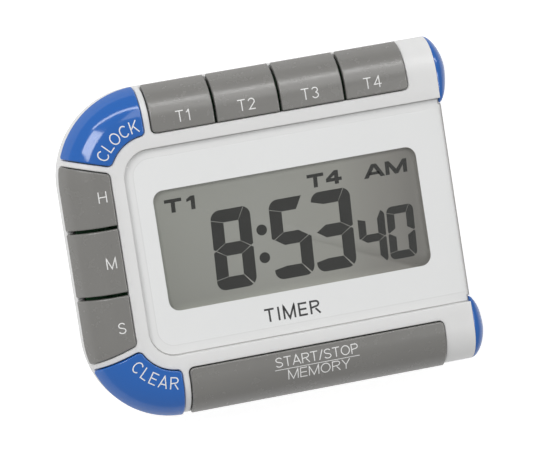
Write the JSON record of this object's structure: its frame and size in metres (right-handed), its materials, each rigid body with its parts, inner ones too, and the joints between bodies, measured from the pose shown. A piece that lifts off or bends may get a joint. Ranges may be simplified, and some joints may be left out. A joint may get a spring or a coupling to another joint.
{
  "type": "lab timer",
  "caption": "Digital laboratory timer: half-round C-shaped frame with push keys around a flat display panel, end caps, fold-out stand and cell door.",
  "frame": {"origin": "middle of the bounding box at the flat back", "axes": "+X to the right of the face, +Y to the top of the face, +Z out of the face"},
  "size_m": [0.09, 0.073, 0.0186],
  "materials": {
    "white_shell": "fine satin moulded plastic",
    "grey_key": "satin warm grey plastic",
    "blue_plastic": "glossy blue plastic",
    "clear_lens": "clear acrylic, white printed border on the back",
    "nickel": "nickel plated",
    "steel": "zinc plated",
    "spring_steel": "nickel plated spring steel",
    "brass": "rolled brass",
    "piezo_ceramic": "silvered ceramic",
    "board": "green solder mask on glass fibre board",
    "black_resin": "black epoxy",
    "chip_ceramic": "sintered",
    "lcd_glass": "polarised glass",
    "lcd_film": "grey reflective film",
    "frame_plastic": "plain moulded",
    "zebra_rubber": "layered conductive rubber",
    "dome_rubber": "carbon filled silicone",
    "wire_skin": "vinyl wire insulation",
    "cell_sleeve": "plain printed sleeve"
  },
  "bodies": {
    "case": {"front_cover": "white_shell", "rear_cover": "white_shell", "display_lens": "clear_lens", "end_cap_upper": "blue_plastic", "end_cap_lower": "blue_plastic", "magnets": "nickel", "casing_screws": "steel", "board_screws": "steel", "dome_t1": "dome_rubber", "dome_t2": "dome_rubber", "dome_t3": "dome_rubber", "dome_t4": "dome_rubber", "dome_hour": "dome_rubber", "dome_minute": "dome_rubber", "dome_second": "dome_rubber", "dome_start_stop": "dome_rubber", "dome_clock": "dome_rubber", "dome_clear": "dome_rubber", "circuit_board": "board", "main_chip": "black_resin", "quartz_crystal": "nickel", "chip_parts": "chip_ceramic", "lcd_glass": "lcd_glass", "lcd_reflector": "lcd_film", "lcd_frame": "frame_plastic", "zebra_strip": "zebra_rubber", "buzzer_disc": "brass", "buzzer_ceramic": "piezo_ceramic", "buzzer_wires": "wire_skin", "battery": "cell_sleeve", "battery_spring": "spring_steel", "battery_plate": "spring_steel", "battery_wires": "wire_skin"},
    "key_t1": {"button_t1": "grey_key"},
    "key_t2": {"button_t2": "grey_key"},
    "key_t3": {"button_t3": "grey_key"},
    "key_t4": {"button_t4": "grey_key"},
    "key_hour": {"button_hour": "grey_key"},
    "key_minute": {"button_minute": "grey_key"},
    "key_second": {"button_second": "grey_key"},
    "key_start_stop": {"button_start_stop": "grey_key"},
    "key_clock": {"button_clock": "blue_plastic"},
    "key_clear": {"button_clear": "blue_plastic"},
    "stand": {"stand": "white_shell"},
    "battery_door": {"battery_door": "white_shell"}
  },
  "joints": [
    {"name": "press_t1", "type": "slide", "parent": "case", "child": "key_t1", "axis": [0, 0, -1], "range_m": [0, 0.0006], "stiffness_N_per_m": 900, "deforming": ["dome_t1"]},
    {"name": "press_t2", "type": "slide", "parent": "case", "child": "key_t2", "axis": [0, 0, -1], "range_m": [0, 0.0006], "stiffness_N_per_m": 900, "deforming": ["dome_t2"]},
    {"name": "press_t3", "type": "slide", "parent": "case", "child": "key_t3", "axis": [0, 0, -1], "range_m": [0, 0.0006], "stiffness_N_per_m": 900, "deforming": ["dome_t3"]},
    {"name": "press_t4", "type": "slide", "parent": "case", "child": "key_t4", "axis": [0, 0, -1], "range_m": [0, 0.0006], "stiffness_N_per_m": 900, "deforming": ["dome_t4"]},
    {"name": "press_hour", "type": "slide", "parent": "case", "child": "key_hour", "axis": [0, 0, -1], "range_m": [0, 0.0006], "stiffness_N_per_m": 900, "deforming": ["dome_hour"]},
    {"name": "press_minute", "type": "slide", "parent": "case", "child": "key_minute", "axis": [0, 0, -1], "range_m": [0, 0.0006], "stiffness_N_per_m": 900, "deforming": ["dome_minute"]},
    {"name": "press_second", "type": "slide", "parent": "case", "child": "key_second", "axis": [0, 0, -1], "range_m": [0, 0.0006], "stiffness_N_per_m": 900, "deforming": ["dome_second"]},
    {"name": "press_start_stop", "type": "slide", "parent": "case", "child": "key_start_stop", "axis": [0, 0, -1], "range_m": [0, 0.0006], "stiffness_N_per_m": 1800, "deforming": ["dome_start_stop"]},
    {"name": "press_clock", "type": "slide", "parent": "case", "child": "key_clock", "axis": [0, 0, -1], "range_m": [0, 0.0006], "stiffness_N_per_m": 900, "deforming": ["dome_clock"]},
    {"name": "press_clear", "type": "slide", "parent": "case", "child": "key_clear", "axis": [0, 0, -1], "range_m": [0, 0.0006], "stiffness_N_per_m": 900, "deforming": ["dome_clear"]},
    {"name": "stand_hinge", "type": "hinge", "parent": "case", "child": "stand", "pos_m": [-0.005, -0.003, 0.0015], "axis": [1, 0, 0], "range_deg": [0, 65]},
    {"name": "door_lift", "type": "slide", "parent": "case", "child": "battery_door", "axis": [0, 0, -1], "range_m": [0, 0.012]}
  ]
}
